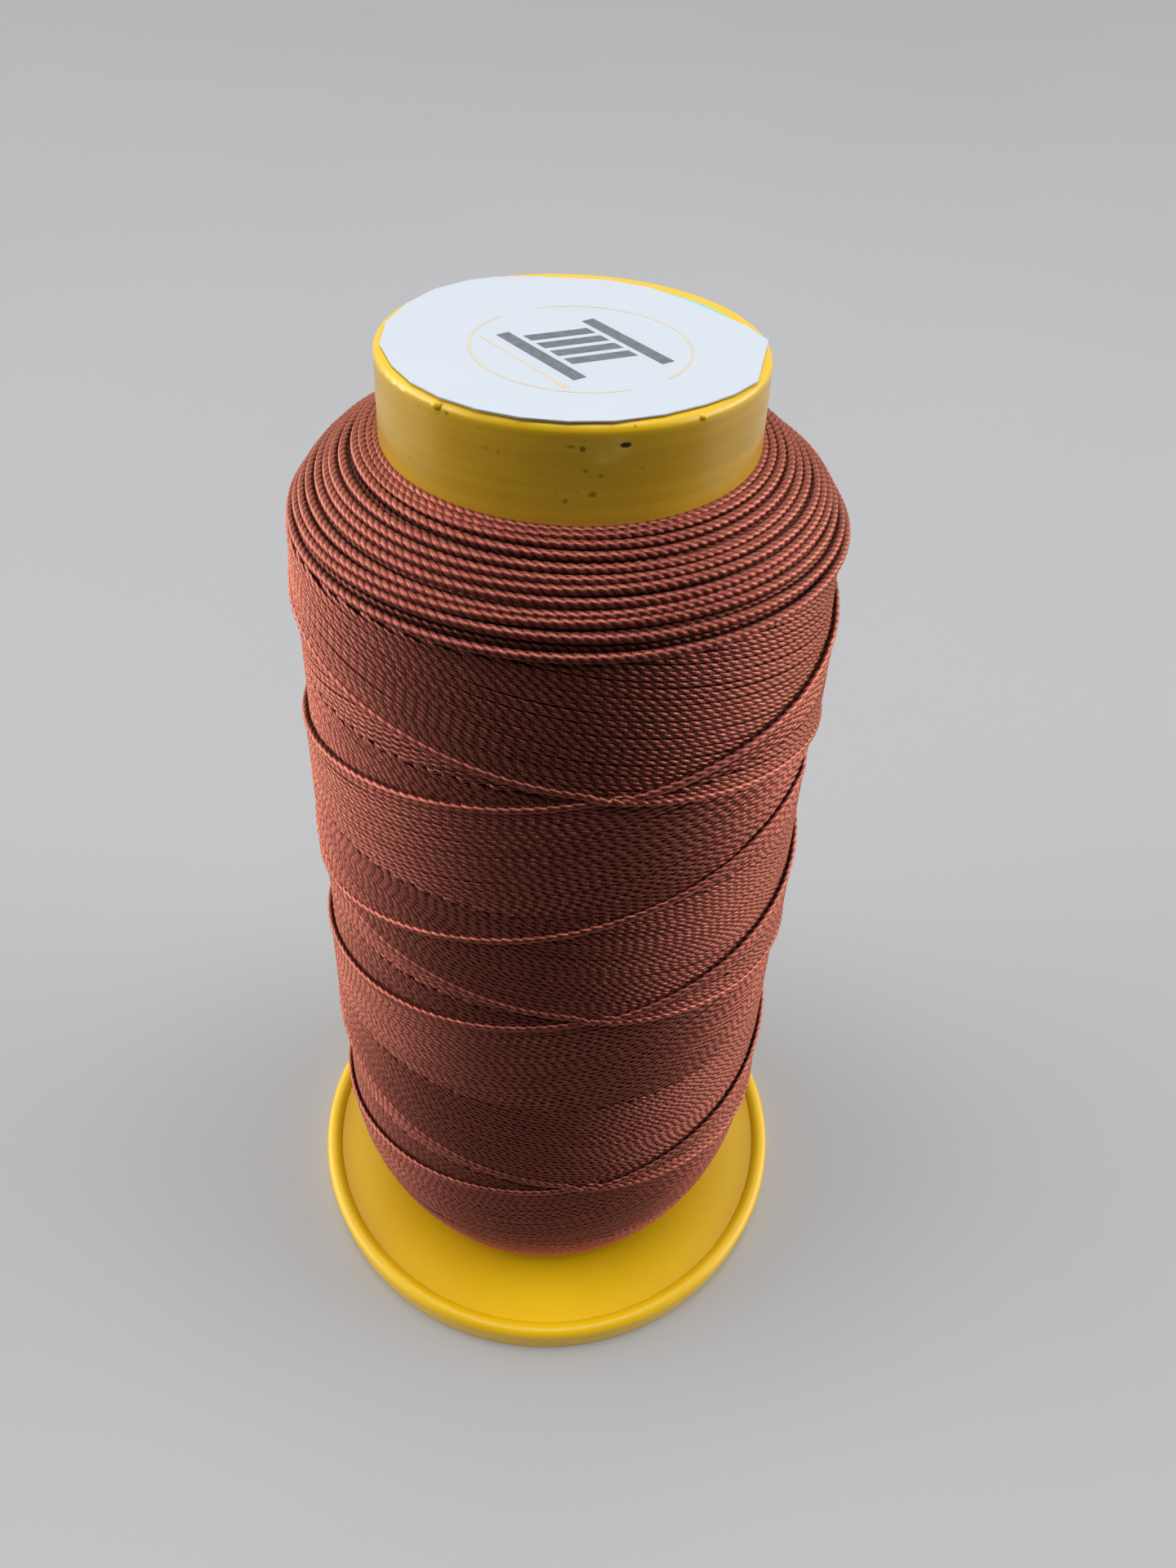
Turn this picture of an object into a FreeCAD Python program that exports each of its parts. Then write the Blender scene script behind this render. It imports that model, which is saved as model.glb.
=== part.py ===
"""A king spool of twisted thread: a hollow tapered barrel, pressed on a round base, wound full.

The spool stands on the XY plane, with its axis on Z and the origin at the middle of its foot.
Lengths are millimetres. Every size comes from the sheet "dimensions".
"""

import FreeCAD, Part
import math
import os
import Sketcher

DIMENSIONS = {
    # base flange
    "base_radius": 40.0,
    "foot_radius": 39.5,
    "bead_radius": 1.3,
    "deck_height": 4.2,
    "deck_thickness": 1.9,
    "skirt_thickness": 1.8,
    "foot_rounding": 0.4,
    "spigot_length": 12.0,
    "spigot_wall": 1.9,
    "boss_radius": 8.0,
    "boss_foot": 0.8,
    "boss_top": 16.2,
    "spindle_radius": 5.0,
    "spindle_lead_in": 0.8,
    "rib_thickness": 1.6,
    "rib_foot": 1.0,
    "rib_count": 6,
    # barrel
    "barrel_height": 147.3,
    "barrel_top_radius": 20.2,
    "barrel_foot_radius": 23.8,
    "barrel_wall": 2.0,
    "top_web": 2.2,
    "rim_rounding": 0.8,
    # thread
    "core_radius": 27.0,
    "core_top": 126.0,
    "wound_foot_radius": 26.2,
    "wound_foot_swell_radius": 30.9,
    "wound_foot_swell_height": 14.2,
    "belly_radius": 33.5,
    "belly_height": 29.0,
    "flank_radius": 32.5,
    "flank_height": 80.0,
    "shoulder_radius": 31.2,
    "shoulder_height": 129.8,
    "shoulder_swell_radius": 27.4,
    "shoulder_swell_height": 134.3,
    "neck_height": 138.4,
    "turn_thickness": 1.1,
    # labels
    "paper_thickness": 0.15,
    "under_label_radius": 17.6,
    "under_label_right": 0.8,
    "under_label_front": 0.6,
}

# The upper label's corners, where scissors changed direction: degrees from +X, and millimetres out.
LABEL_CORNERS = (
    (5, 19.9), (17, 18.7), (44, 17.0), (64, 17.4), (80, 17.6), (106, 17.9), (120, 18.9),
    (130, 19.3), (144, 19.4), (160, 19.2), (177, 19.3), (194, 19.5), (210, 19.5), (223, 19.8),
    (235, 20.0), (247, 20.1), (259, 20.1), (271, 20.0), (283, 19.9), (297, 19.6), (311, 19.5),
    (322, 19.7), (334, 20.0),
)

document = FreeCAD.newDocument("thread_spool")
sheet = document.addObject("Spreadsheet::Sheet", "dimensions")


def fill_sheet():
    """Writes each dimension to a row of the sheet: its name in column A, its value in B."""
    for row, (name, value) in enumerate(DIMENSIONS.items(), start=1):
        sheet.set(f"A{row}", name)
        sheet.set(f"B{row}", str(value))
        sheet.setAlias(f"B{row}", name)
    document.recompute()


def cell(name):
    """The expression that reads one cell of the sheet."""
    return f"dimensions.{name}"


def value(expression):
    """The number that an expression of the sheet's cells comes to."""
    return float(sheet.evalExpression(expression))


def barrel_radius(height):
    """The barrel's outer radius at a height, as an expression: it tapers evenly, foot to top."""
    run = f"({cell('barrel_foot_radius')} - {cell('barrel_top_radius')})"
    rise = f"({cell('barrel_height')} - {cell('deck_height')})"
    return f"({cell('barrel_foot_radius')} - {run} * ({height} - {cell('deck_height')}) / {rise})"


def origin_plane(body, role):
    """One of the body's own three origin planes."""
    return next(plane for plane in body.Origin.OriginFeatures if plane.Role == role)


def new_sketch(body, name, role, lift="0"):
    """An empty sketch on an origin plane of the body, raised off it by the expression lift."""
    sketch = body.newObject("Sketcher::SketchObject", name)
    sketch.AttachmentSupport = [(origin_plane(body, role), "")]
    sketch.MapMode = "FlatFace"
    sketch.setExpression("AttachmentOffset.Base.z", lift)
    return sketch


def pin_point(sketch, edge, end, across, up):
    """Holds one end of an edge at two expressions. An end on an axis is held on that axis."""
    for kind, axis, place in (("DistanceX", -2, across), ("DistanceY", -1, up)):
        if place == "0":
            sketch.addConstraint(Sketcher.Constraint("PointOnObject", edge, end, axis))
        else:
            held = Sketcher.Constraint(kind, -1, 1, edge, end, value(place))
            index = sketch.addConstraint(held)
            sketch.setExpression(f"Constraints[{index}]", place)


def draw_outline(sketch, corners):
    """Draws a closed outline. A corner is (across, up), or (across, up, arc), where arc is the
    point that the side leading to the next corner curves through."""
    count = len(corners)
    places = [FreeCAD.Vector(value(c[0]), value(c[1]), 0) for c in corners]
    sides = []
    for index, corner in enumerate(corners):
        start, end = places[index], places[(index + 1) % count]
        if len(corner) == 3:
            through = FreeCAD.Vector(value(corner[2][0]), value(corner[2][1]), 0)
            sides.append(Part.Arc(start, through, end))
        else:
            sides.append(Part.LineSegment(start, end))
    for index, side in enumerate(sides):
        sketch.addGeometry(side, False)
    for index, corner in enumerate(corners):
        following = (index + 1) % count
        first, last = arc_ends(sides[index], places[index])
        next_first, _ = arc_ends(sides[following], places[following])
        pin_point(sketch, index, first, corner[0], corner[1])
        joined = Sketcher.Constraint("Coincident", index, last, following, next_first)
        sketch.addConstraint(joined)
    for index, corner in enumerate(corners):
        if len(corner) == 3:
            guide = sketch.addGeometry(Part.Point(FreeCAD.Vector(
                value(corner[2][0]), value(corner[2][1]), 0)), True)
            pin_point(sketch, guide, 1, *corner[2])
            sketch.addConstraint(Sketcher.Constraint("PointOnObject", guide, 1, index))


def arc_ends(side, start):
    """Which of a side's ends, 1 or 2, is at start, and which is the other. A sketch keeps its
    arcs anticlockwise, so an arc drawn clockwise has its ends the other way round."""
    if isinstance(side, Part.LineSegment):
        return 1, 2
    kept = side.toShape().Curve
    turns_clockwise = kept.Axis.z < 0
    return (2, 1) if turns_clockwise else (1, 2)


def turned_body(name, corners):
    """A body turned about Z from an outline of (radius, height) corners."""
    body = document.addObject("PartDesign::Body", name)
    sketch = new_sketch(body, f"{name}_outline", "XZ_Plane")
    draw_outline(sketch, corners)
    turned = body.newObject("PartDesign::Revolution", f"{name}_turned")
    turned.Profile = sketch
    turned.ReferenceAxis = (sketch, ["V_Axis"])
    turned.Angle = 360
    document.recompute()
    return body


def ring_edges(shape, radius, height):
    """The names of the shape's round edges of one radius at one height."""
    names = []
    for index, edge in enumerate(shape.Edges, start=1):
        curve = edge.Curve
        if not isinstance(curve, Part.Circle):
            continue
        if abs(curve.Radius - radius) < 0.01 and abs(curve.Center.z - height) < 0.01:
            names.append(f"Edge{index}")
    return names


def round_edges(body, name, rings, radius_cell):
    """Fillets the body's round edges at the given (radius, height) expressions."""
    base = body.Tip
    edges = []
    for radius, height in rings:
        edges += ring_edges(base.Shape, value(radius), value(height))
    fillet = body.newObject("PartDesign::Fillet", name)
    fillet.Base = (base, edges)
    fillet.setExpression("Radius", cell(radius_cell))
    document.recompute()


def make_barrel():
    """The tapered hollow barrel, open at the foot and closed by a flat web at the top."""
    deck, top = cell("deck_height"), cell("barrel_height")
    under_web = f"{top} - {cell('top_web')}"
    wall = cell("barrel_wall")
    body = turned_body("barrel", [
        ("0", top),
        (barrel_radius(top), top),
        (barrel_radius(deck), deck),
        (f"{barrel_radius(deck)} - {wall}", deck),
        (f"{barrel_radius(f'({under_web})')} - {wall}", under_web),
        ("0", under_web),
    ])
    round_edges(body, "barrel_rim", [(barrel_radius(top), top)], "rim_rounding")
    return body


def make_base_flange():
    """The round base: beaded rim and skirt, flat deck, spigot for the barrel, spindle boss."""
    deck = cell("deck_height")
    base, bead = cell("base_radius"), cell("bead_radius")
    foot, skirt = cell("foot_radius"), cell("skirt_thickness")
    under_deck = f"{deck} - {cell('deck_thickness')}"
    spigot_top = f"({deck} + {cell('spigot_length')})"
    wall, spigot_wall = cell("barrel_wall"), cell("spigot_wall")
    boss, boss_foot, boss_top = cell("boss_radius"), cell("boss_foot"), cell("boss_top")
    spindle, lead_in = cell("spindle_radius"), cell("spindle_lead_in")
    body = turned_body("base_flange", [
        (foot, "0"),
        (base, deck, (f"{base} - {bead}", f"{deck} + {bead}")),
        (f"{base} - 2 * {bead}", deck),
        (f"{barrel_radius(deck)} - {wall}", deck),
        (f"{barrel_radius(spigot_top)} - {wall}", spigot_top),
        (f"{barrel_radius(spigot_top)} - {wall} - {spigot_wall}", spigot_top),
        (f"{barrel_radius(deck)} - {wall} - {spigot_wall}", deck),
        (boss, deck),
        (boss, boss_top),
        (spindle, boss_top),
        (spindle, f"{boss_foot} + {lead_in}"),
        (f"{spindle} + {lead_in}", boss_foot),
        (boss, boss_foot),
        (boss, under_deck),
        (f"{foot} - {skirt}", under_deck),
        (f"{foot} - {skirt}", "0"),
    ])
    round_edges(body, "foot_edges", [(foot, "0"), (f"{foot} - {skirt}", "0")], "foot_rounding")
    add_ribs(body)
    return body


def add_ribs(body):
    """Radial ribs under the deck, from the spindle boss to the skirt."""
    inner = f"{cell('boss_radius')} - {cell('rib_thickness')}"
    outer = f"{cell('foot_radius')} - {cell('skirt_thickness')} + {cell('foot_rounding')}"
    half = f"{cell('rib_thickness')} / 2"
    sketch = new_sketch(body, "rib_outline", "XY_Plane", cell("rib_foot"))
    draw_outline(sketch, [
        (inner, f"-{half}"),
        (outer, f"-{half}"),
        (outer, half),
        (inner, half),
    ])
    rib = body.newObject("PartDesign::Pad", "rib")
    rib.Profile = sketch
    rib.setExpression(
        "Length", f"{cell('deck_height')} - {cell('deck_thickness')} / 2 - {cell('rib_foot')}")
    document.recompute()
    ribs = body.newObject("PartDesign::PolarPattern", "ribs")
    ribs.Originals = [rib]
    ribs.Axis = (sketch, ["N_Axis"])
    ribs.Angle = 360
    ribs.setExpression("Occurrences", cell("rib_count"))
    body.Tip = ribs
    document.recompute()


def make_inner_winding():
    """The first layers of thread, hidden under the outer ones."""
    deck, top = cell("deck_height"), cell("core_top")
    return turned_body("inner_winding", [
        (barrel_radius(deck), deck),
        (f"{cell('wound_foot_radius')} - {cell('turn_thickness')}", deck),
        (cell("core_radius"), cell("wound_foot_swell_height")),
        (cell("core_radius"), top),
        (barrel_radius(top), top),
    ])


def make_outer_winding():
    """The outer layers: a barrel-shaped package, drawn in at its foot and rounded at its top."""
    deck, top, turn = cell("deck_height"), cell("core_top"), cell("turn_thickness")
    neck = f"({cell('neck_height')} - {turn})"
    return turned_body("outer_winding", [
        (f"{cell('wound_foot_radius')} - {turn}", deck),
        (cell("wound_foot_radius"), deck, (
            cell("wound_foot_swell_radius"), cell("wound_foot_swell_height"))),
        (cell("belly_radius"), cell("belly_height"), (
            cell("flank_radius"), cell("flank_height"))),
        (cell("shoulder_radius"), f"{cell('shoulder_height')} - {turn}", (
            cell("shoulder_swell_radius"), f"{cell('shoulder_swell_height')} - {turn}")),
        (barrel_radius(neck), neck),
        (barrel_radius(top), top),
        (cell("core_radius"), top),
        (cell("core_radius"), cell("wound_foot_swell_height")),
    ])


def make_shoulder_turns():
    """The loose turns that lie side by side on the rounded shoulder, up to the collar."""
    turn, neck, edge = cell("turn_thickness"), cell("neck_height"), cell("shoulder_height")
    swell_radius, swell_height = cell("shoulder_swell_radius"), cell("shoulder_swell_height")
    under_neck = f"({neck} - {turn})"
    return turned_body("shoulder_turns", [
        (barrel_radius(neck), neck, (swell_radius, swell_height)),
        (cell("shoulder_radius"), edge),
        (cell("shoulder_radius"), f"{edge} - {turn}", (swell_radius, f"{swell_height} - {turn}")),
        (barrel_radius(under_neck), under_neck),
    ])


def make_under_label():
    """The maker's round paper label, stuck to the barrel's top a little off centre."""
    body = document.addObject("PartDesign::Body", "under_label")
    sketch = new_sketch(body, "under_label_outline", "XY_Plane", cell("barrel_height"))
    circle = sketch.addGeometry(Part.Circle(
        FreeCAD.Vector(value(cell("under_label_right")), -value(cell("under_label_front")), 0),
        FreeCAD.Vector(0, 0, 1), value(cell("under_label_radius"))), False)
    pin_point(sketch, circle, 3, cell("under_label_right"), f"-{cell('under_label_front')}")
    size = Sketcher.Constraint("Radius", circle, value(cell("under_label_radius")))
    index = sketch.addConstraint(size)
    sketch.setExpression(f"Constraints[{index}]", cell("under_label_radius"))
    pad_paper(body, sketch)
    return body


def make_top_label():
    """The plain label over it, cut out by hand with straight snips."""
    body = document.addObject("PartDesign::Body", "top_label")
    lift = f"{cell('barrel_height')} + {cell('paper_thickness')}"
    sketch = new_sketch(body, "top_label_outline", "XY_Plane", lift)
    draw_outline(sketch, [
        (f"{reach * math.cos(math.radians(turn)):.3f}", f"{reach * math.sin(math.radians(turn)):.3f}")
        for turn, reach in LABEL_CORNERS
    ])
    pad_paper(body, sketch)
    return body


def pad_paper(body, sketch):
    """Gives a label's outline the thickness of its paper."""
    sheet_of_paper = body.newObject("PartDesign::Pad", f"{body.Name}_paper")
    sheet_of_paper.Profile = sketch
    sheet_of_paper.setExpression("Length", cell("paper_thickness"))
    document.recompute()


def check_document(bodies):
    """Stops if any feature failed, or if any piece isn't one valid solid."""
    for item in document.Objects:
        if {"Invalid", "Error"} & set(item.State):
            raise RuntimeError(f"{item.Name} failed: {item.State}")
    for body in bodies:
        shape = body.Shape
        if shape.isNull() or not shape.isValid() or len(shape.Solids) != 1:
            raise RuntimeError(f"{body.Label} isn't one valid solid")


def write_parts(bodies):
    """Writes each piece to a file of its own name, and prints its size."""
    os.makedirs("parts", exist_ok=True)
    for body in bodies:
        body.Shape.exportStep(f"parts/{body.Label}.step")
        box = body.Shape.BoundBox
        print(f"{body.Label}: {body.Shape.Volume:.0f} mm3, z {box.ZMin:.2f} to {box.ZMax:.2f}")


fill_sheet()
pieces = [
    make_base_flange(),
    make_barrel(),
    make_inner_winding(),
    make_outer_winding(),
    make_shoulder_turns(),
    make_under_label(),
    make_top_label(),
]
document.recompute()
check_document(pieces)
write_parts(pieces)
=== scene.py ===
"""The looks of a king spool: yellow plastic bobbin, cross-wound three-ply thread, paper labels.

Everything is in metres in the CAD model's frame. Angles round the spool are in degrees from the
front (-Y), growing towards +X. Heights and radii come from the CAD nodes.
"""

import math

import bpy
import numpy as np
from mathutils import Matrix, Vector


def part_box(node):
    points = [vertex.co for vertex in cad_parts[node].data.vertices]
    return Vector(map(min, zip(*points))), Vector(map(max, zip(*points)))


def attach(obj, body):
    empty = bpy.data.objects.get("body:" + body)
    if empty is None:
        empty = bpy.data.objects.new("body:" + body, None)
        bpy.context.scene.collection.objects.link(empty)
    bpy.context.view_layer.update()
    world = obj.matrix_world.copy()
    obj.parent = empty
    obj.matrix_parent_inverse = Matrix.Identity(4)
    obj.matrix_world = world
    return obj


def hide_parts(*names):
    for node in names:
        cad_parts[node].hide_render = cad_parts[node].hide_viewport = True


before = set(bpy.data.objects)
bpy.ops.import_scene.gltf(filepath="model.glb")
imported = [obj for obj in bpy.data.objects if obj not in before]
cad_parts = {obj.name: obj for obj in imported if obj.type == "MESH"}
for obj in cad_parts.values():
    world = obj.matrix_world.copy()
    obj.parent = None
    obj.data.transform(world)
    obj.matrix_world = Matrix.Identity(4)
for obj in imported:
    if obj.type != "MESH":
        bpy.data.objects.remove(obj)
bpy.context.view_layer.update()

MM = 0.001
random = np.random.default_rng(7)

# Heights and radii from the CAD nodes: the deck is the floor of the base's dish, and the edge is
# where the flank ends and the shoulder starts.
BASE_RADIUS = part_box("base_flange")[1].x
WOUND_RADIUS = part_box("outer_winding")[1].x
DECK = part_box("barrel")[0].z
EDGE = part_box("shoulder_turns")[0].z
NECK_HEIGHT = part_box("shoulder_turns")[1].z
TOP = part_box("barrel")[1].z

# The thread's section: how deep each point of a ring lies between the plies, from 0 to 1, how much
# painted shade that gives it, and how softly the painted light ends on its sides.
PLIES = 3
PLY_GROOVE = np.tile((1.0, 0.27, 0.0, 0.27), PLIES)
RING_POINTS = len(PLY_GROOVE)
GROOVE_SHADE = 2.9
LIGHT_EDGE = 0.35

# A piece of thread is closed once it has this many faces. On the bake's map its strands are cut
# into rows: STRIP_SHAPE sets how many rings a row holds, STRIP_GAP the free share on its sides.
MOST_FACES = 60_000
STRIP_SHAPE = 7.5
STRIP_GAP = 0.14

# ---------------------------------------------------------------- meshes


def mesh_piece(name, points, quads, smooth=True):
    """A mesh object from an array of points and an array of four-cornered faces."""
    mesh = bpy.data.meshes.new(name)
    mesh.vertices.add(len(points))
    mesh.vertices.foreach_set("co", np.asarray(points, np.float32).ravel())
    corners = np.asarray(quads, np.int32)
    mesh.loops.add(corners.size)
    mesh.loops.foreach_set("vertex_index", corners.ravel())
    mesh.polygons.add(len(corners))
    mesh.polygons.foreach_set("loop_start", np.arange(len(corners), dtype=np.int32) * 4)
    mesh.polygons.foreach_set("use_smooth", np.full(len(corners), smooth))
    mesh.update(calc_edges=True)
    piece = bpy.data.objects.new(name, mesh)
    bpy.context.scene.collection.objects.link(piece)
    return piece


def place(piece, material, slot, *nodes):
    """Gives a piece its material and the CAD nodes that it stands for. Its slot is not used."""
    piece.data.materials.clear()
    piece.data.materials.append(material)
    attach(piece, "root")
    if nodes:
        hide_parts(*nodes)
    return piece


def turned(name, outline, segments):
    """A closed ring turned about Z from a closed outline of (radius, height) points."""
    outline = np.asarray(outline, float)
    count = len(outline)
    turn = np.linspace(0, 2 * np.pi, segments, endpoint=False)
    points = np.empty((segments, count, 3))
    points[..., 0] = np.cos(turn)[:, None] * outline[:, 0]
    points[..., 1] = np.sin(turn)[:, None] * outline[:, 0]
    points[..., 2] = outline[:, 1]
    ring, spot = np.meshgrid(np.arange(segments), np.arange(count), indexing="ij")
    next_ring, next_spot = (ring + 1) % segments, (spot + 1) % count
    quads = np.stack([
        ring * count + spot, next_ring * count + spot,
        next_ring * count + next_spot, ring * count + next_spot,
    ], -1).reshape(-1, 4)
    return mesh_piece(name, points.reshape(-1, 3), quads)


# ---------------------------------------------------------------- the package's surface


def bulges(before, spot, after):
    """Whether a (height, radius) spot lies outside the line between its neighbours."""
    rise, reach = spot[0] - before[0], spot[1] - before[1]
    return reach * (after[0] - before[0]) > rise * (after[1] - before[1])


def outline_of(node):
    """Heights and outer radii of a turned CAD node, lowest first."""
    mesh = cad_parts[node].data
    points = np.empty(len(mesh.vertices) * 3, np.float32)
    mesh.vertices.foreach_get("co", points)
    points = points.reshape(-1, 3)
    outline = []
    for spot in sorted(zip(points[:, 2], np.hypot(points[:, 0], points[:, 1]))):
        while len(outline) > 1 and not bulges(outline[-2], outline[-1], spot):
            outline.pop()
        outline.append(spot)
    return np.array(outline).T


FLANK = outline_of("outer_winding")
SHOULDER = outline_of("shoulder_turns")
SHOULDER = SHOULDER[:, SHOULDER[0] > EDGE + 0.1 * MM]


def flank_radius(height):
    """The package's outer radius at a height below the shoulder."""
    return np.interp(height, *FLANK)


def flank_normal(angle, height):
    """Unit vectors out of the package's surface."""
    reach = 0.5 * MM
    slope = (flank_radius(height + reach) - flank_radius(height - reach)) / (2 * reach)
    slope = np.clip(slope, -1, 1)
    size = np.sqrt(1 + slope ** 2)
    return np.stack([np.sin(angle) / size, -np.cos(angle) / size, -slope / size], -1)


def at(angle, radius, height):
    """Points at an angle from the front, a radius and a height."""
    return np.stack([radius * np.sin(angle), -radius * np.cos(angle), height], -1)


def wander(length, size, wave):
    """A smooth random wobble along a length: three sines with random phases."""
    total = np.zeros_like(length)
    for part in (1.0, 0.6, 0.37):
        phase = random.uniform(0, 2 * np.pi)
        total += np.sin(length * 2 * np.pi / (wave * part) + phase) * part
    return total * size / 2


# ---------------------------------------------------------------- thread


class Yarn:
    """A thread's thickness, the length of one full twist and the step between its rings.

    bare is how far down its sides, from 1 at the top to -1 below, its painted light reaches. groove is
    how deep its plies part, as a share of its radius, and the last number is how bright that painted
    light is: below 1 it is painted shade over the whole strand.
    """

    def __init__(self, thickness, twist, step, bare, groove, tone):
        self.thickness = thickness
        self.twist = twist
        self.step = step
        self.bare = bare
        self.groove = groove
        self.tone = tone


# The last number of each is painted light: below 1 the whole strand is painted darker as shade, most
# for the layer under the loose turns.
PACKED = Yarn(0.76 * MM, 3.9 * MM, 0.45 * MM, 0.45, 0.26, 1.0)
PROUD = Yarn(0.98 * MM, 3.9 * MM, 0.36 * MM, 0.0, 0.22, 1.0)
LOOSE = Yarn(1.06 * MM, 3.2 * MM, 0.30 * MM, -0.1, 0.21, 0.76)
UNDER = Yarn(1.0 * MM, 3.2 * MM, 0.36 * MM, 0.2, 0.22, 0.45)


class ThreadBuilder:
    """Collects strands of three-ply thread and makes them into mesh pieces."""

    def __init__(self, name):
        self.name = name
        self.pieces = []
        self.clear()

    def clear(self):
        self.points, self.quads, self.fibres, self.shades, self.lights = [], [], [], [], []
        self.corners = []
        self.count = 0
        self.faces = 0

    def add(self, path, outward, yarn):
        """One strand along path, an array of points, with the surface's outward directions."""
        if len(path) < 4:
            return
        along = np.gradient(path, axis=0)
        along /= np.linalg.norm(along, axis=1)[:, None]
        out = outward - (outward * along).sum(1)[:, None] * along
        out /= np.linalg.norm(out, axis=1)[:, None]
        side = np.cross(along, out)
        gone = np.concatenate([[0], np.cumsum(np.linalg.norm(np.diff(path, axis=0), axis=1))])
        start = random.uniform(0, yarn.twist)
        spot = np.arange(RING_POINTS) * 2 * np.pi / RING_POINTS
        turn = spot[None, :] + ((gone + start) * 2 * np.pi / yarn.twist)[:, None]
        shape = (1 - yarn.groove * PLY_GROOVE) * yarn.thickness / 2
        ring = (np.cos(turn)[..., None] * out[:, None] + np.sin(turn)[..., None] * side[:, None])
        points = path[:, None] + ring * shape[None, :, None]
        # Painted light and shade: each strand is painted lit on its top and dark down its sides, under
        # its neighbours and in the grooves between its plies.
        light = np.clip((np.cos(turn) - yarn.bare) / LIGHT_EDGE, 0, 1) * yarn.tone
        light *= (1 - GROOVE_SHADE * yarn.groove * PLY_GROOVE)[None, :]
        rings = len(path)
        first = self.count
        i, j = np.meshgrid(np.arange(rings - 1), np.arange(RING_POINTS), indexing="ij")
        k = (j + 1) % RING_POINTS
        walls = first + np.stack([
            i * RING_POINTS + j, i * RING_POINTS + k,
            (i + 1) * RING_POINTS + k, (i + 1) * RING_POINTS + j,
        ], -1).reshape(-1, 4)
        half = RING_POINTS // 2
        low = np.arange(half - 1)
        cap = first + np.stack([low, RING_POINTS - 1 - low, RING_POINTS - 2 - low, low + 1], -1)
        far_cap = cap[:, ::-1] + (rings - 1) * RING_POINTS
        self.points.append(points.reshape(-1, 3))
        self.quads.append(np.concatenate([walls, cap, far_cap]))
        fibre = np.empty((rings, RING_POINTS, 3))
        fibre[..., 0] = ((gone + start) / MM)[:, None]
        fibre[..., 1] = np.cos(spot)[None, :] + random.uniform(0, 40)
        fibre[..., 2] = np.sin(spot)[None, :]
        self.fibres.append(fibre.reshape(-1, 3))
        self.shades.append(np.full(rings * RING_POINTS, random.uniform(0, 1)))
        self.lights.append(light.reshape(-1))
        self.corners.append((rings - 1, 2 * (half - 1)))
        self.count += rings * RING_POINTS
        self.faces += len(walls) + len(cap) * 2
        if self.faces > MOST_FACES:
            self.make()

    def make(self):
        """Makes the strands collected so far into one piece."""
        if not self.faces:
            return
        name = f"{self.name}_{len(self.pieces) + 1:02d}"
        piece = mesh_piece(name, np.concatenate(self.points), np.concatenate(self.quads))
        fibre = piece.data.attributes.new("fibre", "FLOAT_VECTOR", "POINT")
        fibre.data.foreach_set("vector", np.concatenate(self.fibres).astype(np.float32).ravel())
        for label, values in (("shade", self.shades), ("light", self.lights)):
            layer = piece.data.attributes.new(label, "FLOAT", "POINT")
            layer.data.foreach_set("value", np.concatenate(values).astype(np.float32))
        self.lay_out(piece)
        self.pieces.append(piece)
        self.clear()

    def lay_out(self, piece):
        """Unrolls the strands onto the bake's map: long strips, cut into rows and stacked."""
        total = sum(rings for rings, _ in self.corners)
        per_row = max(1, math.ceil(math.sqrt(total * STRIP_SHAPE)))
        rows = math.ceil(total / per_row)
        maps = []
        done = 0
        for rings, caps in self.corners:
            i, j = np.meshgrid(done + np.arange(rings), np.arange(RING_POINTS), indexing="ij")
            row, column = i // per_row, i % per_row
            left, right = column / per_row, (column + 1) / per_row
            width = (1 - 2 * STRIP_GAP) / RING_POINTS
            low = (row + STRIP_GAP + width * j) / rows
            high = (row + STRIP_GAP + width * (j + 1)) / rows
            walls = np.stack([left, low, left, high, right, high, right, low], -1)
            maps.append(walls.reshape(-1, 8))
            maps.append(np.tile(walls.reshape(-1, 8)[:1, :2], (caps, 4)))
            done += rings
        layer = piece.data.uv_layers.new(name="OFBake")
        layer.data.foreach_set("uv", np.concatenate(maps).astype(np.float32).ravel())


# ---------------------------------------------------------------- flank

# The winder lays a climbing thread, then a falling one, each a little further round than the
# last pair, until the pairs close up and a new layer starts. The newest climbing and the newest
# falling thread cross at one angle, once a turn, at these heights.
CROSSING = math.radians(11)
CROSSING_HEIGHTS = np.array([2.0, 38.9, 77.2, 112.8, 149.3]) * MM
CROSSING_TURNS = np.array([-3, -2, -1, 0, 1])
PAIRS = 55

# How the threads lie on each other. The newest one's top stands SWELL outside the CAD surface, and
# PROUD_LIFT more where it is a thick one. A whole layer is LAYER lower, and a thread goes DIVE
# deeper under the newer ones, where it is kept for a HIDDEN share of the layer. EARLY is how many
# threads ahead the very newest starts to rise.
LAYER = 0.6 * MM
SWELL = 0.45 * MM
PROUD_LIFT = 0.25 * MM
DIVE = 0.75 * MM
HIDDEN = 2.2 / PAIRS
EARLY = 1.5

# The flank's ends. Below its edge it draws in by DRAWN_IN, and at the edge each thread tucks down
# to TUCKED. A thread wanders a little in height and in radius: by how much, and over what length.
FLANK_LOW = DECK + 0.5 * PACKED.thickness
FLANK_HIGH = EDGE + 0.4 * MM
DRAWN_IN, DRAWN_HEIGHT = 0.35 * MM, 12 * MM
TUCKED, TUCK_HEIGHT = -0.25 * MM, 0.8 * MM
HEIGHT_WANDER = (0.10 * MM, 60 * MM)
RADIUS_WANDER = (0.05 * MM, 45 * MM)


def ease(share):
    """An easy rise from 0 to 1."""
    share = np.clip(share, 0, 1)
    return share * share * (3 - 2 * share)


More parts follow.
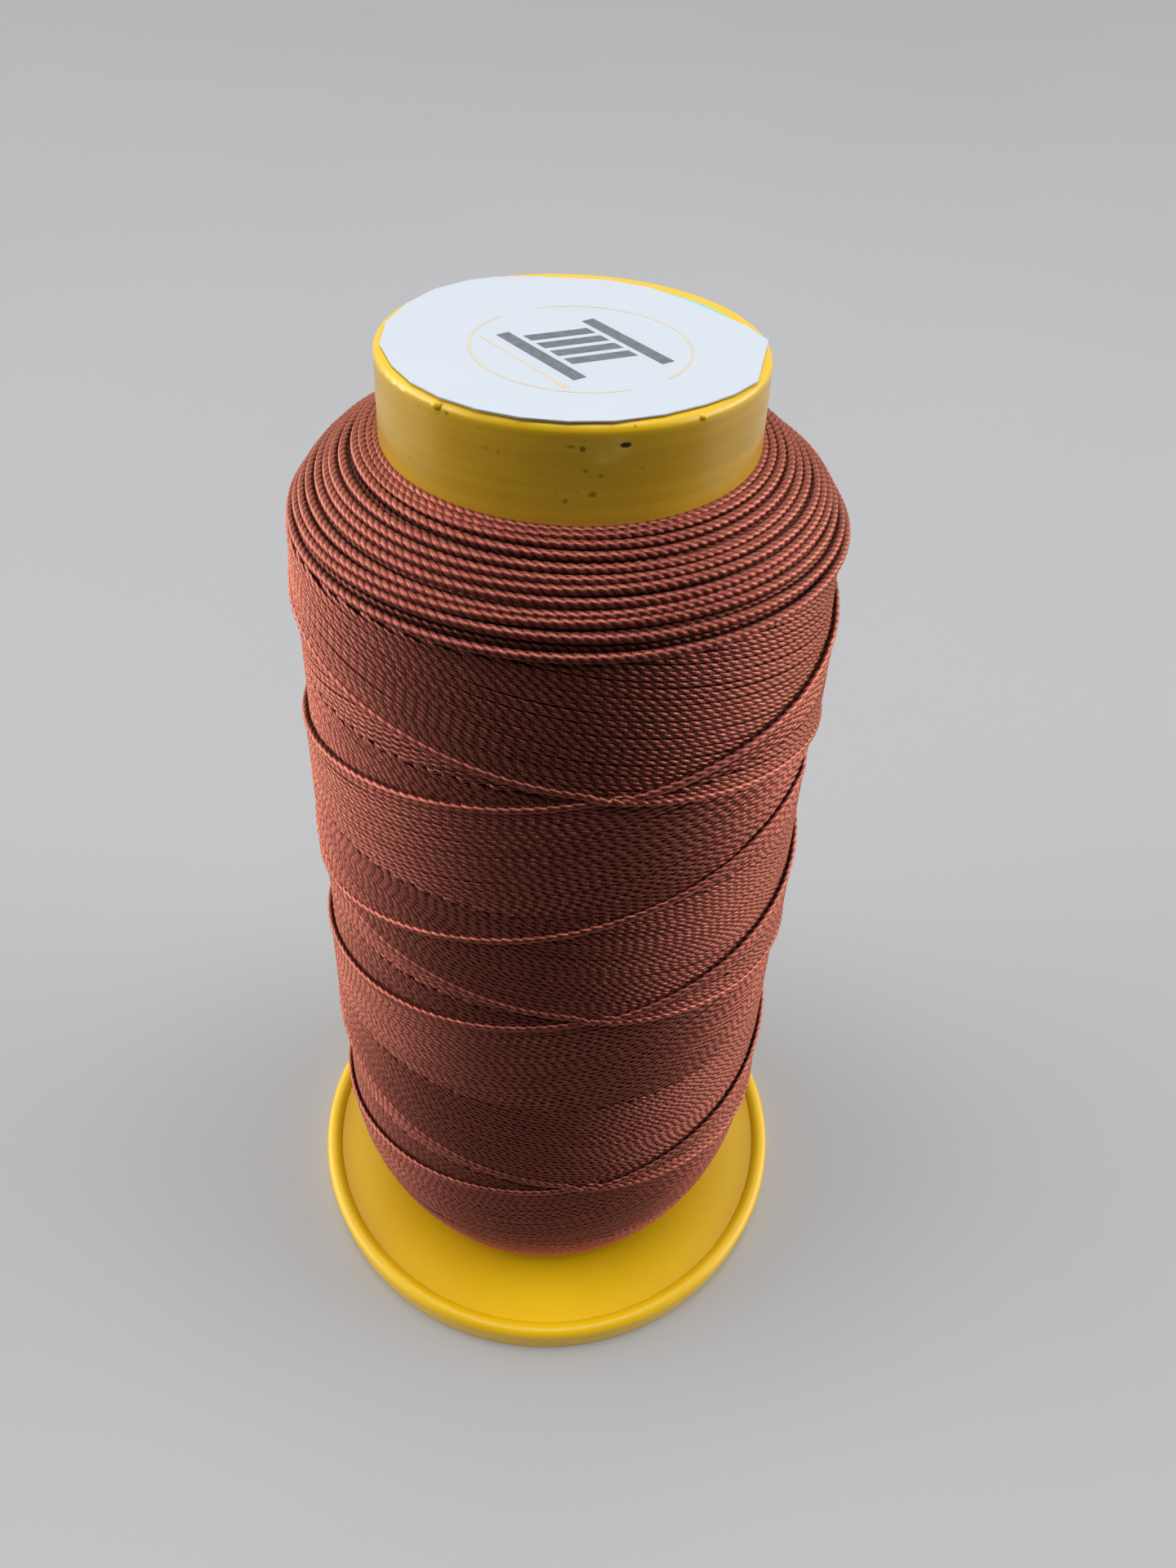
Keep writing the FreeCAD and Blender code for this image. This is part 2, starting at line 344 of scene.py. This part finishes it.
def flank_path(angle, height, lift):
    """A path over the flank, which draws in a little and then tucks under the lowest loose turn."""
    gone = angle * WOUND_RADIUS
    height = np.clip(height + wander(gone, *HEIGHT_WANDER), FLANK_LOW, None)
    lift = lift - ease(1 + (height - EDGE) / DRAWN_HEIGHT) * DRAWN_IN
    tuck = ease(1 + (height - EDGE) / TUCK_HEIGHT)
    lift = np.minimum(lift, lift * (1 - tuck) + TUCKED * tuck)
    radius = flank_radius(height) + lift + wander(gone, *RADIUS_WANDER)
    return at(angle, radius, height), flank_normal(angle, height)


def lay_wound_thread(builder, direction, age, yarn):
    """One thread wound up or down the flank; age is its share of the layer, newest 0.

    It lies over the threads across it that are older, and under the newer ones, where it is
    left out. Where it meets the newest of them it comes up by one layer.
    """
    reach = 2 * math.pi * len(CROSSING_TURNS)
    angle = np.arange(-reach, reach, yarn.step / WOUND_RADIUS)
    height = np.interp(
        direction * (angle / (2 * math.pi) - age), CROSSING_TURNS, CROSSING_HEIGHTS, -1, -1)
    across = (angle / math.pi - age) % 1
    past_newest = np.where(across > 0.5, across - 1, across)
    early = EARLY if age == 0 else 0
    rise = ease((past_newest * PAIRS + early) / (1 + early / 3))
    dive = ease((age - across) * PAIRS + 0.5) * DIVE * np.where(past_newest < 0, 1, rise)
    lift = SWELL - LAYER * (age + past_newest + 1 - rise) - dive - yarn.thickness / 2
    if yarn is PROUD:
        lift += PROUD_LIFT
    shown = (height > FLANK_LOW) & (height < FLANK_HIGH)
    shown &= (across > age - HIDDEN) | (across < HIDDEN)
    edges = np.flatnonzero(np.diff(np.concatenate([[0], shown.astype(np.int8), [0]])))
    for first, last in zip(edges[::2], edges[1::2]):
        part = slice(first, last)
        builder.add(*flank_path(angle[part] + CROSSING, height[part], lift[part]), yarn)


# The stray strand: its height in front, its rise per degree, and where it starts and ends. It
# dives over the last few degrees at both ends.
STRAY = (92.2 * MM, 0.148 * MM, -110, 78)
STRAY_LIFT = 0.35 * MM
STRAY_DIVE = math.radians(12)


def lay_stray_thread(builder, front_height, slope, low, high):
    """One proud strand that crosses the others and dives under them at both of its ends."""
    angle = np.arange(math.radians(low), math.radians(high), PROUD.step / WOUND_RADIUS)
    ends = np.minimum(angle - angle[0], angle[-1] - angle) / STRAY_DIVE
    lift = STRAY_LIFT - 1.8 * LAYER * (1 - ease(ends)) - PROUD.thickness / 2
    height = front_height + slope * np.degrees(angle)
    builder.add(*flank_path(angle, height, lift), PROUD)


def wind_flank(material):
    """The cross-wound flank of the package."""
    builder = ThreadBuilder("flank_thread")
    for pair in range(PAIRS):
        yarn = PACKED if pair else PROUD
        lay_wound_thread(builder, -1, pair / PAIRS, yarn)
        lay_wound_thread(builder, 1, (pair + 0.5) / PAIRS, yarn)
    lay_stray_thread(builder, *STRAY)
    builder.make()
    for piece in builder.pieces:
        place(piece, material, "thread", "outer_winding")


# ---------------------------------------------------------------- shoulder


# Where each loose turn passes the front, how far the shoulder leans to the front at its neck, how
# deep the turns that show between them lie, and how far each wanders and over what length.
LOOSE_RADII = np.array([20.6, 21.5, 22.4, 23.4, 24.7, 25.8, 26.7, 27.5, 28.4, 29.2, 30.1, 31.05]) * MM
LEAN = 0.8 * MM
BETWEEN_DEPTH, BELOW_DEPTH = 0.75 * MM, 1.2 * MM
LOOSE_WOBBLE, UNDER_WOBBLE = 0.25 * MM, 0.12 * MM
RADIUS_WAVE, DEPTH_WAVE = 130 * MM, 90 * MM


def shoulder_height(radius, angle):
    """The height of the rounded shoulder, which leans a little to the front at its neck."""
    share = (LOOSE_RADII[-1] - radius) / (LOOSE_RADII[-1] - LOOSE_RADII[0])
    return np.interp(radius, SHOULDER[1][::-1], SHOULDER[0][::-1]) - LEAN * share * np.cos(angle)


def shoulder_normal(radius, angle):
    """Unit vectors out of the shoulder."""
    reach = 0.4 * MM
    drop = shoulder_height(radius - reach, angle) - shoulder_height(radius + reach, angle)
    slope = drop / (2 * reach)
    size = np.sqrt(1 + slope ** 2)
    return np.stack([np.sin(angle) * slope / size, -np.cos(angle) * slope / size, 1 / size], -1)


def lay_spiral(builder, radii, depth, wobble, yarn):
    """Turns that spiral out over the shoulder, from the back, through the given front radii."""
    turn = np.arange(-0.5, len(radii) - 0.5, yarn.step / (2 * math.pi * radii.mean()))
    angle = turn * 2 * math.pi
    radius = np.interp(turn, np.arange(len(radii)), radii)
    gone = angle * radii.mean()
    radius = np.clip(radius + wander(gone, wobble, RADIUS_WAVE), LOOSE_RADII[0], LOOSE_RADII[-1])
    outward = shoulder_normal(radius, angle)
    path = at(angle, radius, shoulder_height(radius, angle))
    depth = depth + yarn.thickness / 2 + wander(gone, 0.8 * wobble, DEPTH_WAVE)
    builder.add(path - outward * depth[:, None], outward, yarn)


def wind_shoulder(material):
    """The loose turns over the sloping shoulder, and the layer below that shows between them."""
    upper = ThreadBuilder("shoulder_thread")
    lay_spiral(upper, LOOSE_RADII, 0.0, LOOSE_WOBBLE, LOOSE)
    upper.make()
    lower = ThreadBuilder("shoulder_under_thread")
    between = (LOOSE_RADII[:-1] + LOOSE_RADII[1:]) / 2
    lay_spiral(lower, between, BETWEEN_DEPTH, UNDER_WOBBLE, UNDER)
    lower.make()
    lay_spiral(lower, LOOSE_RADII, BELOW_DEPTH, UNDER_WOBBLE, UNDER)
    lower.make()
    for piece in upper.pieces + lower.pieces:
        place(piece, material, "thread", "shoulder_turns")


def make_core(material):
    """The layers below, as one smooth ring just under the lowest thread that shows, coloured near black
    as painted shade.
    """
    depth = 2 * LAYER + DIVE - SWELL + PACKED.thickness / 2
    foot = DECK + 0.02 * MM
    outline = [(flank_radius(level) - depth, level) for level in np.linspace(foot, EDGE, 80)]
    outline += [(26.0 * MM, NECK_HEIGHT - 5.2 * MM), (LOOSE_RADII[0], NECK_HEIGHT - 3.2 * MM)]
    outline += [(LOOSE_RADII[0], NECK_HEIGHT - 12 * MM), (24.0 * MM, foot)]
    core = turned("winding_core", outline, 96)
    place(core, material, "thread", "inner_winding")


# ---------------------------------------------------------------- label print and rim


# The print's thickness, and how it is turned and where it sits on the label.
PRINT_LIFT = 0.02 * MM
PRINT_TURN = math.radians(-51)
PRINT_CENTRE = (0.8 * MM, -2.6 * MM)


def flat_shapes(name, shapes):
    """Thin flat prisms on the label, each between two sides given as points in millimetres."""
    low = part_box("top_label")[1].z
    points, quads = [], []
    turn = np.array([[math.cos(PRINT_TURN), math.sin(PRINT_TURN)],
                     [-math.sin(PRINT_TURN), math.cos(PRINT_TURN)]])
    for left, right in shapes:
        first = len(points)
        count = len(left)
        for lift in (0.0, PRINT_LIFT):
            for side in (left, right):
                for spot in np.asarray(side, float) * MM @ turn:
                    points.append((spot[0] + PRINT_CENTRE[0], spot[1] + PRINT_CENTRE[1], low + lift))
        a, b, c, d = (first + part * count for part in range(4))
        for k in range(count - 1):
            quads.append((a + k, b + k, b + k + 1, a + k + 1))
            quads.append((c + k, c + k + 1, d + k + 1, d + k))
            quads.append((a + k, a + k + 1, c + k + 1, c + k))
            quads.append((b + k, d + k, d + k + 1, b + k + 1))
        quads.append((a, c, d, b))
        last = count - 1
        quads.append((a + last, b + last, d + last, c + last))
    return mesh_piece(name, points, quads, smooth=False)


def bar(x_low, x_high, y_low, y_high, slant=0.0):
    """A bar's two long sides, the upper one pushed along by slant."""
    return [(x_low, y_low), (x_high, y_low)], [(x_low + slant, y_high), (x_high + slant, y_high)]


def arc_band(inner, outer, low, high):
    """A curved band's two sides, from one angle to another in degrees."""
    angle = np.radians(np.linspace(low, high, 48))
    ring = np.stack([np.cos(angle), np.sin(angle)], -1)
    return ring * inner, ring * outer


def make_print(grey, gold):
    """A plain printed mark: a spool of thread and a needle in a thin broken ring."""
    strands = [bar(x, x + 1.5, -3.4, 3.4, 1.6) for x in (-5.2, -2.9, -0.6, 1.7)]
    flanges = [bar(-6.8, 6.4, -5.6, -4.1), bar(-5.4, 7.8, 4.1, 5.6)]
    place(flat_shapes("label_print_grey", strands + flanges), grey, "label_paper")
    rings = [arc_band(11.0, 11.25, 12, 168), arc_band(11.0, 11.25, 192, 348)]
    needle = [bar(-7.2, 5.9, -7.3, -7.05), bar(5.9, 7.4, -7.5, -6.85)]
    place(flat_shapes("label_print_gold", rings + needle), gold, "label_paper")


# The rim's nubs: degrees and mm. Their shape is longest round the rim.
FLASH_NUBS = ((-35, 0.62), (38, 0.48))
FLASH_SHAPE = np.array([1.3, 0.6, 0.7])
FLASH_RADIUS, FLASH_BELOW = 20.0 * MM, 0.55 * MM


def make_rim_flash(material):
    """Two small nubs of plastic left on the collar's rim by the mould."""
    across, along = 20, 12
    turn = np.linspace(0, 2 * np.pi, across, endpoint=False)
    tilt = np.linspace(0.02, np.pi - 0.02, along)
    points, quads = [], []
    for angle, size in FLASH_NUBS:
        first = len(points)
        spot = at(math.radians(angle), FLASH_RADIUS, TOP - FLASH_BELOW)
        for v in tilt:
            for u in turn:
                out = np.array([np.sin(v) * np.cos(u), np.sin(v) * np.sin(u), np.cos(v)])
                points.append(spot + out * FLASH_SHAPE * size * MM)
        for i in range(along - 1):
            for j in range(across):
                k = (j + 1) % across
                quads.append((first + i * across + j, first + (i + 1) * across + j,
                              first + (i + 1) * across + k, first + i * across + k))
    place(mesh_piece("rim_flash", points, quads), material, "barrel_plastic")


# ---------------------------------------------------------------- materials


def new_material(name):
    """An empty node material: its nodes, its links and its shader."""
    material = bpy.data.materials.new(name)
    material.use_nodes = True
    nodes, links = material.node_tree.nodes, material.node_tree.links
    return material, nodes, links, nodes["Principled BSDF"]


def add_node(nodes, kind, **settings):
    """A node with some of its properties set."""
    node = nodes.new(kind)
    for key, value in settings.items():
        setattr(node, key, value)
    return node


def noise(nodes, links, vector, scale, detail=3.0, roughness=0.5):
    """A noise texture over a vector socket."""
    node = nodes.new("ShaderNodeTexNoise")
    node.inputs["Scale"].default_value = scale
    node.inputs["Detail"].default_value = detail
    node.inputs["Roughness"].default_value = roughness
    links.new(vector, node.inputs["Vector"])
    return node.outputs["Fac"]


def ramp(nodes, links, factor, *stops):
    """A colour ramp through (position, colour) stops."""
    node = nodes.new("ShaderNodeValToRGB")
    elements = node.color_ramp.elements
    while len(elements) < len(stops):
        elements.new(0.5)
    for element, (position, colour) in zip(elements, stops):
        element.position = position
        element.color = (*colour, 1)
    links.new(factor, node.inputs["Fac"])
    return node.outputs["Color"]


def mix(nodes, links, factor, first, second, blend="MIX"):
    """A colour mix. Factor and the colours may be sockets or values."""
    node = nodes.new("ShaderNodeMix")
    node.data_type = "RGBA"
    node.blend_type = blend
    for socket, value in ((0, factor), (6, first), (7, second)):
        if isinstance(value, bpy.types.NodeSocket):
            links.new(value, node.inputs[socket])
        else:
            node.inputs[socket].default_value = value
    return node.outputs[2]


def smooth_span(nodes, links, value, taken, given):
    """A value socket carried smoothly from one span of numbers to another."""
    node = add_node(nodes, "ShaderNodeMapRange", interpolation_type="SMOOTHSTEP")
    for name, number in zip(("From Min", "From Max", "To Min", "To Max"), (*taken, *given)):
        node.inputs[name].default_value = number
    links.new(value, node.inputs["Value"])
    return node.outputs["Result"]


def calculate(nodes, links, operation, first, second):
    """A sum, difference or product of two value sockets."""
    node = add_node(nodes, "ShaderNodeMath", operation=operation)
    links.new(first, node.inputs[0])
    links.new(second, node.inputs[1])
    return node


def stretched(nodes, links, vector, scale):
    """A vector socket with each of its parts scaled."""
    node = add_node(nodes, "ShaderNodeVectorMath", operation="MULTIPLY")
    node.inputs[1].default_value = scale
    links.new(vector, node.inputs[0])
    return node.outputs[0]


def bump(nodes, links, shader, height, strength, distance):
    """A bump from a height socket into the shader."""
    node = nodes.new("ShaderNodeBump")
    node.inputs["Strength"].default_value = strength
    node.inputs["Distance"].default_value = distance
    links.new(height, node.inputs["Height"])
    links.new(node.outputs["Normal"], shader.inputs["Normal"])


def thread_material():
    """Silky brick-red thread: streaks of fibres along each ply, a random tone for each strand, painted
    sheen where it is seen edge-on and painted shade down the strands' sides.
    """
    material, nodes, links, shader = new_material("thread")
    fibre = add_node(nodes, "ShaderNodeAttribute", attribute_name="fibre")
    shade = add_node(nodes, "ShaderNodeAttribute", attribute_name="shade")
    light = add_node(nodes, "ShaderNodeAttribute", attribute_name="light")
    along_fibres = stretched(nodes, links, fibre.outputs["Vector"], (0.35, 7.0, 7.0))
    streaks = noise(nodes, links, along_fibres, 1.0, 4.0, 0.6)
    deep = ramp(
        nodes, links, streaks,
        (0.30, (0.20, 0.046, 0.036)), (0.52, (0.44, 0.116, 0.086)), (0.74, (0.78, 0.262, 0.19)))
    # Painted sheen: the colour turns paler and more salmon where the surface is seen edge-on.
    painted_sheen = ramp(
        nodes, links, streaks,
        (0.30, (0.50, 0.165, 0.113)), (0.52, (0.88, 0.315, 0.215)), (0.74, (0.99, 0.48, 0.335)))
    grazing = nodes.new("ShaderNodeLayerWeight").outputs["Facing"]
    colour = mix(nodes, links, smooth_span(nodes, links, grazing, (0.2, 0.75), (0.0, 1.0)), deep, painted_sheen)
    # Painted shade: where the light attribute is low, on the strands' sides and in their grooves, the
    # colour is darkened nearly to black.
    painted_gap_shade = ramp(nodes, links, light.outputs["Fac"], (0.15, (0.04, 0.03, 0.03)), (0.85, (1.0, 1.0, 1.0)))
    colour = mix(nodes, links, 1.0, colour, painted_gap_shade, "MULTIPLY")
    tint = ramp(nodes, links, shade.outputs["Fac"], (0.0, (0.88, 0.86, 0.86)), (1.0, (1.0, 1.0, 1.0)))
    colour = mix(nodes, links, 1.0, colour, tint, "MULTIPLY")
    links.new(colour, shader.inputs["Base Color"])
    shader.inputs["Metallic"].default_value = 0.8
    shader.inputs["Roughness"].default_value = 0.33
    shader.inputs["Specular IOR Level"].default_value = 0.4
    shader.inputs["Specular Tint"].default_value = (1.0, 0.54, 0.43, 1)
    shader.inputs["Sheen Weight"].default_value = 0.6
    shader.inputs["Sheen Roughness"].default_value = 0.35
    shader.inputs["Sheen Tint"].default_value = (1.0, 0.34, 0.24, 1)
    bump(nodes, links, shader, streaks, 0.35, 0.06 * MM)
    return material


def painted_depth_shade_material():
    """Painted shade: the depths between the threads, coloured near black."""
    material, nodes, links, shader = new_material("painted_shade_depths")
    place_of = nodes.new("ShaderNodeTexCoord").outputs["Object"]
    grain = noise(nodes, links, place_of, 900.0)
    colour = ramp(nodes, links, grain, (0.3, (0.03, 0.006, 0.005)), (0.7, (0.06, 0.014, 0.011)))
    links.new(colour, shader.inputs["Base Color"])
    shader.inputs["Roughness"].default_value = 0.8
    return material


def plastic_material(name, light, deep, rough):
    """Moulded yellow plastic with faint clouding and a fine orange-peel surface."""
    material, nodes, links, shader = new_material(name)
    place_of = nodes.new("ShaderNodeTexCoord").outputs["Object"]
    cloud = noise(nodes, links, place_of, 60.0)
    colour = ramp(nodes, links, cloud, (0.35, deep), (0.65, light))
    links.new(colour, shader.inputs["Base Color"])
    shader.inputs["Roughness"].default_value = rough
    shader.inputs["Specular IOR Level"].default_value = 0.5
    peel = noise(nodes, links, place_of, 1600.0, 2.0)
    bump(nodes, links, shader, peel, 0.12, 0.05 * MM)
    return material


# Pits on the collar's front: degrees, mm below the top, half width, half height, darkness of their
# painted shade. A mark is a spot this many mm deep in the plastic, at this radius, so that it shows on
# one side only.
COLLAR_MARKS = (
    (16, 1.9, 0.62, 0.30, 1.0), (2, 2.0, 0.42, 0.18, 0.5), (5, 2.2, 0.34, 0.30, 0.7),
    (6, 4.3, 0.30, 0.22, 0.4), (10, 4.8, 0.22, 0.18, 0.5), (8, 6.6, 0.45, 0.32, 0.5),
    (1, 7.3, 0.30, 0.30, 0.4), (-32, 0.9, 0.22, 0.20, 0.6),
)
MARK_REACH = 8
MARK_RADIUS = 20.3 * MM


def near(nodes, links, place_of, angle, below, width, height):
    """A mask that is 1 at a spot on the collar and falls to 0 at its edge."""
    spot = at(math.radians(angle), MARK_RADIUS, TOP - below * MM)
    offset = add_node(nodes, "ShaderNodeVectorMath", operation="SUBTRACT")
    offset.inputs[1].default_value = spot
    links.new(place_of, offset.inputs[0])
    size = (1 / (width * MM), 1 / (MARK_REACH * MM), 1 / (height * MM))
    length = add_node(nodes, "ShaderNodeVectorMath", operation="LENGTH")
    links.new(stretched(nodes, links, offset.outputs[0], size), length.inputs[0])
    return smooth_span(nodes, links, length.outputs["Value"], (0.55, 1.15), (1.0, 0.0))


def barrel_material():
    """The barrel's plastic: painted light on a brighter rim, turning lines, a pale gate scar, specks,
    and pits darkened with painted shade.
    """
    material, nodes, links, shader = new_material("barrel_plastic")
    place_of = nodes.new("ShaderNodeTexCoord").outputs["Object"]
    parts = nodes.new("ShaderNodeSeparateXYZ")
    links.new(place_of, parts.inputs[0])
    cloud = noise(nodes, links, place_of, 90.0)
    colour = ramp(nodes, links, cloud, (0.35, (0.58, 0.335, 0.018)), (0.65, (0.66, 0.39, 0.025)))
    lines = noise(nodes, links, stretched(nodes, links, place_of, (25.0, 25.0, 1100.0)), 1.0, 3.0)
    streak = ramp(nodes, links, lines, (0.3, (0.86, 0.84, 0.8)), (0.7, (1.0, 1.0, 1.0)))
    colour = mix(nodes, links, 1.0, colour, streak, "MULTIPLY")
    # Painted light: the collar turns a brighter, deeper yellow towards its top, where light shines
    # through the thin rim.
    rim = smooth_span(nodes, links, parts.outputs["Z"], (TOP - 1.3 * MM, TOP - 0.5 * MM), (0.0, 1.0))
    colour = mix(nodes, links, rim, colour, (0.84, 0.52, 0.01, 1))
    scar = near(nodes, links, place_of, 9, 2.2, 3.2, 1.7)
    patchy = noise(nodes, links, place_of, 420.0, 3.0)
    patchy = smooth_span(nodes, links, patchy, (0.35, 0.65), (0.1, 0.55))
    faded = calculate(nodes, links, "MULTIPLY", scar, patchy)
    colour = mix(nodes, links, faded.outputs[0], colour, (0.72, 0.52, 0.10, 1))
    cells = add_node(nodes, "ShaderNodeTexVoronoi")
    cells.inputs["Scale"].default_value = 800.0
    links.new(place_of, cells.inputs["Vector"])
    speck = smooth_span(nodes, links, cells.outputs["Distance"], (0.08, 0.17), (0.5, 0.0))
    some = smooth_span(nodes, links, noise(nodes, links, place_of, 330.0, 2.0), (0.5, 0.62), (0.0, 1.0))
    sparse = calculate(nodes, links, "MULTIPLY", speck, some)
    colour = mix(nodes, links, sparse.outputs[0], colour, (0.16, 0.09, 0.012, 1))
    depth = lines
    # Each pit is a real dent in the bump, and its dark colour is painted shade in the dent.
    for angle, below, width, height, darkness in COLLAR_MARKS:
        mark = near(nodes, links, place_of, angle, below, width, height)
        colour = mix(nodes, links, smooth_span(nodes, links, mark, (0.0, 1.0), (0.0, darkness)),
                     colour, (0.05, 0.028, 0.012, 1))
        depth = calculate(nodes, links, "SUBTRACT", depth, mark).outputs[0]
    links.new(colour, shader.inputs["Base Color"])
    shader.inputs["Roughness"].default_value = 0.27
    shader.inputs["Specular IOR Level"].default_value = 0.5
    bump(nodes, links, shader, depth, 0.25, 0.06 * MM)
    return material


def ink_material(name, light, deep):
    """Printing ink, a little broken by the paper's grain."""
    material, nodes, links, shader = new_material(name)
    place_of = nodes.new("ShaderNodeTexCoord").outputs["Object"]
    grain = noise(nodes, links, place_of, 1400.0)
    links.new(ramp(nodes, links, grain, (0.3, deep), (0.7, light)), shader.inputs["Base Color"])
    shader.inputs["Roughness"].default_value = 0.45
    return material


def paper_material(name, colour, deep):
    """Coated paper with a faint fibre grain."""
    material, nodes, links, shader = new_material(name)
    place_of = nodes.new("ShaderNodeTexCoord").outputs["Object"]
    cloud = noise(nodes, links, place_of, 90.0)
    links.new(ramp(nodes, links, cloud, (0.3, deep), (0.7, colour)), shader.inputs["Base Color"])
    shader.inputs["Roughness"].default_value = 0.5
    grain = noise(nodes, links, place_of, 5000.0, 3.0)
    bump(nodes, links, shader, grain, 0.15, 0.03 * MM)
    return material


def floor_material():
    """Pale paper to the camera. In front of the spool it is near black to every other ray, which
    stands in for a black card there: real pale paper would throw light back on the spool."""
    material, nodes, links, shader = new_material("floor_paper")
    place_of = nodes.new("ShaderNodeTexCoord").outputs["Object"]
    cloud = noise(nodes, links, place_of, 3.0, 2.0)
    colour = ramp(nodes, links, cloud, (0.3, (0.415, 0.415, 0.42)), (0.7, (0.43, 0.43, 0.435)))
    parts = nodes.new("ShaderNodeSeparateXYZ")
    links.new(place_of, parts.inputs[0])
    front = smooth_span(nodes, links, parts.outputs["Y"], FLOOR_SHADED, (1.0, 0.0))
    path = nodes.new("ShaderNodeLightPath")
    thrown = calculate(nodes, links, "SUBTRACT", front, path.outputs["Is Camera Ray"])
    thrown.use_clamp = True
    colour = mix(nodes, links, thrown.outputs[0], colour, (0.005, 0.005, 0.005, 1))
    links.new(colour, shader.inputs["Base Color"])
    shader.inputs["Roughness"].default_value = 0.8
    return material


# ---------------------------------------------------------------- stage


# The floor is near black to bounced rays in front of the first place in Y, pale behind the second.
FLOOR_SHADED = (-62 * MM, -42 * MM)


def make_floor():
    """A wide pale floor just under the spool."""
    reach, drop = 5.0, 0.02 * MM
    corners = [(-reach, -reach, -drop), (reach, -reach, -drop), (reach, reach, -drop),
               (-reach, reach, -drop)]
    floor = mesh_piece("floor", corners, [(0, 1, 2, 3)])
    floor.data.materials.append(floor_material())


def make_world():
    """Soft light from the sides, the back and above, and little from the front, where the photo's
    camera stands. The camera sees a plain grey in its place."""
    world = bpy.data.worlds.new("soft_room")
    bpy.context.scene.world = world
    world.use_nodes = True
    nodes, links = world.node_tree.nodes, world.node_tree.links
    nodes.clear()
    direction = nodes.new("ShaderNodeTexCoord").outputs["Generated"]
    parts = nodes.new("ShaderNodeSeparateXYZ")
    links.new(direction, parts.inputs[0])
    overhead = smooth_span(nodes, links, parts.outputs["Z"], (0.2, 0.95), (0.50, 1.0))
    sideways = calculate(nodes, links, "MULTIPLY", parts.outputs["X"], parts.outputs["X"])
    beside = smooth_span(nodes, links, sideways.outputs[0], (0.5, 0.85), (0.0, 4.2))
    sky = calculate(nodes, links, "ADD", overhead, beside)
    towards_front = add_node(nodes, "ShaderNodeVectorMath", operation="DOT_PRODUCT")
    towards_front.inputs[1].default_value = (0.14, -0.99, 0.0)
    links.new(direction, towards_front.inputs[0])
    shaded = smooth_span(nodes, links, towards_front.outputs["Value"], (0.2, 0.65), (1.0, 0.02))
    strength = calculate(nodes, links, "MULTIPLY", sky.outputs[0], shaded)
    light = nodes.new("ShaderNodeBackground")
    light.inputs["Color"].default_value = (0.98, 0.985, 1.0, 1)
    links.new(strength.outputs[0], light.inputs["Strength"])
    seen = nodes.new("ShaderNodeBackground")
    seen.inputs["Color"].default_value = (0.52, 0.52, 0.525, 1)
    path = nodes.new("ShaderNodeLightPath")
    choose = nodes.new("ShaderNodeMixShader")
    links.new(path.outputs["Is Camera Ray"], choose.inputs["Fac"])
    links.new(light.outputs[0], choose.inputs[1])
    links.new(seen.outputs[0], choose.inputs[2])
    output = nodes.new("ShaderNodeOutputWorld")
    links.new(choose.outputs[0], output.inputs["Surface"])


def make_softbox():
    """A large soft light above, which falls off over the floor behind."""
    data = bpy.data.lights.new("softbox", "AREA")
    data.shape = "DISK"
    data.size = 0.9
    data.energy = 4.6
    softbox = bpy.data.objects.new("softbox", data)
    softbox.location = (0.0, -0.12, 1.1)
    bpy.context.scene.collection.objects.link(softbox)


# The camera's place, in base radii from the middle of the deck, how far down it looks, its roll.
CAMERA_PLACE = (0.097, -2.906, 4.67)
CAMERA_DOWN, CAMERA_ROLL = math.radians(41.81), math.radians(3.15)


def make_camera():
    """The camera close in front, looking down at the collar, turned a little."""
    data = bpy.data.cameras.new("camera")
    data.lens = 26.25
    data.clip_start, data.clip_end = 0.01, 20
    camera = bpy.data.objects.new("camera", data)
    bpy.context.scene.collection.objects.link(camera)
    right, forward, above = (part * BASE_RADIUS for part in CAMERA_PLACE)
    tip = Matrix.Rotation(math.pi / 2 - CAMERA_DOWN, 4, "X")
    roll = Matrix.Rotation(CAMERA_ROLL, 4, "Z")
    camera.matrix_world = Matrix.Translation((right, forward, above + DECK)) @ tip @ roll
    bpy.context.scene.camera = camera


# ---------------------------------------------------------------- the object


def dress_cad_nodes():
    """Materials for the CAD nodes that stay, and the flash that is moulded on the barrel."""
    materials = {
        "base_flange": plastic_material("base_plastic", (0.87, 0.53, 0.004), (0.83, 0.49, 0.003), 0.36),
        "barrel": barrel_material(),
        "under_label": paper_material("teal_paper", (0.25, 0.68, 0.56), (0.22, 0.62, 0.50)),
        "top_label": paper_material("white_paper", (0.56, 0.605, 0.66), (0.545, 0.59, 0.65)),
    }
    for name, material in materials.items():
        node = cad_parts[name]
        node.data.materials.clear()
        node.data.materials.append(material)
    make_rim_flash(materials["barrel"])


bpy.context.scene.view_settings.view_transform = "Standard"
make_camera()
make_world()
make_softbox()
make_floor()
dress_cad_nodes()
make_print(
    ink_material("grey_ink", (0.10, 0.115, 0.125), (0.16, 0.18, 0.195)),
    ink_material("gold_ink", (0.60, 0.50, 0.33), (0.66, 0.58, 0.44)))
thread = thread_material()
make_core(painted_depth_shade_material())
wind_flank(thread)
wind_shoulder(thread)
